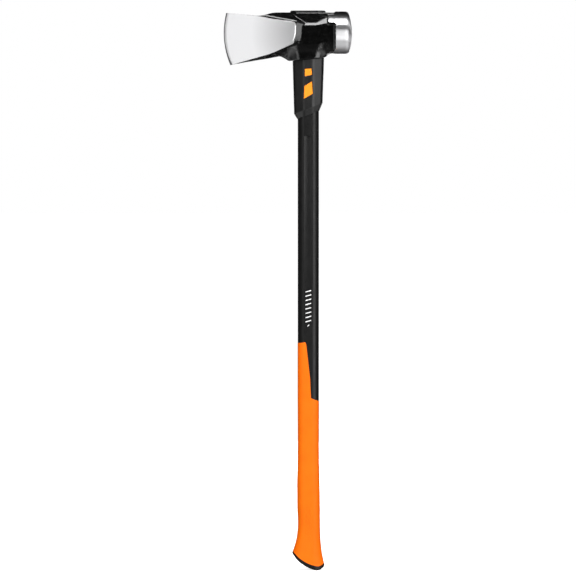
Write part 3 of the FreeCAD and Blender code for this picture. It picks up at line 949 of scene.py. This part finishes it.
def ground_material():
    """Cheeks ground on a belt: fine straight scratches, and painted shade in the base colour,
    darker along the honed edge and a little towards the shoulder."""
    steel = (0.74, 0.74, 0.75)
    m = Nodes("ground_steel", steel, 0.4, 0.8)
    scratches = m.noise(900.0, 4.0, 0.6, (0.04, 1.0, 1.0))
    center, radius = circle_through(EDGE_TOP, EDGE_MIDDLE, EDGE_BOTTOM)
    reach = m.radius("X", "Z", center)
    # painted shade: the base colour is darkened along the edge and towards the shoulder
    edge = m.ranged(reach, 1.0, 0.3, (radius - 5.5) * MM, (radius - 0.5) * MM)
    shoulder = m.ranged(reach, 0.52, 1.0, (radius - 108.0) * MM, (radius - 45.0) * MM)
    m.colors(m.calculate("MULTIPLY", edge, shoulder), (0.0, 0.0, 0.0), steel)
    m.rough(m.ranged(scratches, 0.34, 0.46))
    m.bump(scratches, 0.00004, 0.5)
    return m.material


def turned_material():
    """Poll turned on a lathe: fine rings about its axis, which spread a reflection
    along the axis."""
    m = Nodes("turned_steel", (0.68, 0.68, 0.69), 0.42, 1.0)
    ring = m.tree.nodes.new("ShaderNodeCombineXYZ")
    m.link(m.axes()["X"], ring.inputs["X"])
    m.link(m.radius("Y", "Z", (0.0, POLL_Z)), ring.inputs["Y"])
    lines = m.noise(1500.0, 3.0, 0.6, place=ring.outputs["Vector"])
    m.rough(m.ranged(lines, 0.38, 0.48))
    m.bump(lines, 0.00004, 0.6)
    around = m.tree.nodes.new("ShaderNodeTangent")
    around.direction_type = "RADIAL"
    around.axis = "X"
    m.link(around.outputs["Tangent"], m.shader.inputs["Tangent"])
    m.shader.inputs["Anisotropic"].default_value = 0.9
    m.shader.inputs["Anisotropic Rotation"].default_value = 0.25
    return m.material


def honed_material():
    """Honed edge, with fine scratches along it."""
    m = Nodes("honed_steel", (0.30, 0.30, 0.31), 0.42, 1.0)
    lines = m.noise(1200.0, 3.0, 0.6, (1.0, 1.0, 0.05))
    m.rough(m.ranged(lines, 0.36, 0.5))
    m.bump(lines, 0.00003, 0.5)
    return m.material


def plastic_material(name, shade, low, high, grain, depth, specular=0.5):
    """Moulded black plastic with a fine spark-eroded grain."""
    m = Nodes(name, (shade, shade, shade), (low + high) / 2)
    m.shader.inputs["Specular IOR Level"].default_value = specular
    fine = m.noise(grain, 3.0)
    broad = m.noise(60.0, 3.0)
    lighter = 1.35 * shade
    m.colors(m.ranged(broad, 0.0, 1.0), (shade, shade, shade), (lighter, lighter, lighter))
    m.rough(m.ranged(broad, low, high))
    m.bump(fine, depth, 0.6)
    return m.material


def orange_material(name, color, deep, low, high):
    """Orange elastomer, a little uneven in colour, with a fine matt grain."""
    m = Nodes(name, color, (low + high) / 2)
    fine = m.noise(2600.0, 2.0)
    broad = m.noise(45.0, 3.0)
    m.colors(m.ranged(broad, 0.0, 1.0), deep, color)
    m.rough(m.ranged(fine, low, high))
    m.bump(fine, 0.00012, 0.5)
    m.shader.inputs["Specular IOR Level"].default_value = 0.14
    return m.material


def print_material():
    """White ink, rubbed thin in places."""
    m = Nodes("white_ink", (0.82, 0.82, 0.82), 0.5)
    wear = m.noise(1400.0, 3.0)
    m.colors(m.ranged(wear, 0.0, 1.0), (0.72, 0.72, 0.72), (0.88, 0.88, 0.88))
    m.rough(m.ranged(wear, 0.42, 0.6))
    return m.material


def fibre_material():
    """Pultruded glass fibre: resin with fibres along the handle."""
    m = Nodes("glass_fibre", (0.55, 0.45, 0.25), 0.4)
    fibres = m.noise(900.0, 3.0, 0.6, (1.0, 1.0, 0.01))
    m.colors(m.ranged(fibres, 0.0, 1.0), (0.42, 0.33, 0.16), (0.66, 0.58, 0.38))
    m.rough(m.ranged(fibres, 0.3, 0.5))
    m.bump(fibres, 0.0001, 0.5)
    return m.material


def floor_material():
    """Pale floor that turns into the white of the backdrop with distance."""
    m = Nodes("pale_floor", (0.8, 0.8, 0.8), 0.9)
    m.shader.inputs["Specular IOR Level"].default_value = 0.0
    m.shader.inputs["Emission Color"].default_value = (1, 1, 1, 1)
    far = m.radius("X", "Y", (0.0, 0.0))
    m.link(m.ranged(far, 0.7, 1.0, 0.4, 2.5), m.shader.inputs["Emission Strength"])
    return m.material


# ---------------------------------------------------------------- studio

def softbox(name, azimuth, elevation, distance, width, height, radiance):
    """Rectangular light of a given brightness, aimed at the middle of the maul."""
    light = bpy.data.lights.new(name, "AREA")
    light.shape = "RECTANGLE"
    light.size, light.size_y = width, height
    light.energy = radiance * math.pi * width * height
    lamp = bpy.data.objects.new(name, light)
    bpy.context.scene.collection.objects.link(lamp)
    a, e = math.radians(azimuth), math.radians(elevation)
    back = Vector((math.sin(a) * math.cos(e), -math.cos(a) * math.cos(e), math.sin(e)))
    lamp.location = Vector(STUDIO_MIDDLE) * MM + back * distance
    lamp.rotation_mode = "QUATERNION"
    lamp.rotation_quaternion = back.to_track_quat("Z", "Y")
    lamp.visible_camera = False
    return lamp


def make_world():
    """White to the camera. Reflections see a dark room whose low sides are light."""
    world = bpy.data.worlds.new("studio")
    bpy.context.scene.world = world
    world.use_nodes = True
    tree = world.node_tree
    split = tree.nodes.new("ShaderNodeSeparateXYZ")
    tree.links.new(tree.nodes.new("ShaderNodeTexCoord").outputs["Generated"], split.inputs["Vector"])
    wide = tree.nodes.new("ShaderNodeMath")
    wide.operation = "ABSOLUTE"
    tree.links.new(split.outputs["X"], wide.inputs[0])
    level = None
    ranges = [
        (split.outputs["Z"], -0.1, -0.7, 0.1, 1.7),
        (split.outputs["Y"], 0.7, -0.2, 0.0, 1.0),
        (wide.outputs["Value"], 0.15, 0.5, 0.15, 1.0),
    ]
    for source, dark, light, low, high in ranges:
        ramp = tree.nodes.new("ShaderNodeMapRange")
        ramp.inputs["From Min"].default_value = dark
        ramp.inputs["From Max"].default_value = light
        ramp.inputs["To Min"].default_value = low
        ramp.inputs["To Max"].default_value = high
        tree.links.new(source, ramp.inputs["Value"])
        if level:
            product = tree.nodes.new("ShaderNodeMath")
            product.operation = "MULTIPLY"
            tree.links.new(level, product.inputs[0])
            tree.links.new(ramp.outputs["Result"], product.inputs[1])
            level = product.outputs["Value"]
        else:
            level = ramp.outputs["Result"]
    path = tree.nodes.new("ShaderNodeLightPath")
    mix = tree.nodes.new("ShaderNodeMix")
    mix.data_type = "RGBA"
    mix.inputs["B"].default_value = (1, 1, 1, 1)
    tree.links.new(level, mix.inputs["A"])
    tree.links.new(path.outputs["Is Camera Ray"], mix.inputs["Factor"])
    tree.links.new(mix.outputs["Result"], tree.nodes["Background"].inputs["Color"])


def make_floor(height):
    """Wide floor at the maul's lowest point, for the camera only."""
    bpy.ops.mesh.primitive_plane_add(size=60.0, location=(0, 0, height))
    floor = bpy.context.object
    floor.name = "floor"
    floor.data.materials.append(floor_material())
    floor.visible_glossy = False
    floor.visible_diffuse = False


def make_camera():
    """Long lens, level with the middle of the maul and looking slightly down."""
    elevation = math.radians(VIEW_ELEVATION)
    camera = bpy.data.cameras.new("camera")
    camera.lens = camera.sensor_width * VIEW_DISTANCE / (VIEW_WIDTH * MM)
    camera.clip_end = 200.0
    view = bpy.data.objects.new("camera", camera)
    bpy.context.scene.collection.objects.link(view)
    back = Vector((0, -math.cos(elevation), math.sin(elevation)))
    view.location = Vector(VIEW_MIDDLE) * MM + back * VIEW_DISTANCE
    view.rotation_mode = "QUATERNION"
    view.rotation_quaternion = back.to_track_quat("Z", "Y")
    bpy.context.scene.camera = view


def dress(node, material):
    """Give a CAD node a material of its own."""
    node.data.materials.clear()
    node.data.materials.append(material)


def main():
    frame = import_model()
    cad_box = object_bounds()
    make_head(paint_material(), ground_material(), turned_material(), honed_material())
    make_cap(plastic_material("cap_plastic", 0.006, 0.24, 0.36, 1500.0, 0.00008))
    make_collar(plastic_material("collar_plastic", 0.005, 0.34, 0.44, 2200.0, 0.00012, 0.4))
    make_shell(plastic_material("shell_plastic", 0.0035, 0.38, 0.48, 1800.0, 0.0001, 0.27))
    make_grip(orange_material("grip_orange", (0.96, 0.168, 0.002), (0.92, 0.152, 0.0015), 0.5, 0.62))
    make_butt(plastic_material("butt_rubber", 0.003, 0.42, 0.52, 2000.0, 0.0001, 0.25))
    make_print(print_material())
    sleeve = orange_material("sleeve_orange", (0.95, 0.29, 0.02), (0.9, 0.26, 0.015), 0.45, 0.55)
    dress(frame["nodes"]["insulation_sleeve"], sleeve)
    dress(frame["nodes"]["inner_core"], fibre_material())
    make_floor(cad_box[0].z)
    make_camera()
    make_world()
    for *lamp, glossy in LAMPS:
        softbox(*lamp).visible_glossy = glossy
    bpy.context.scene.view_settings.view_transform = "Standard"


main()
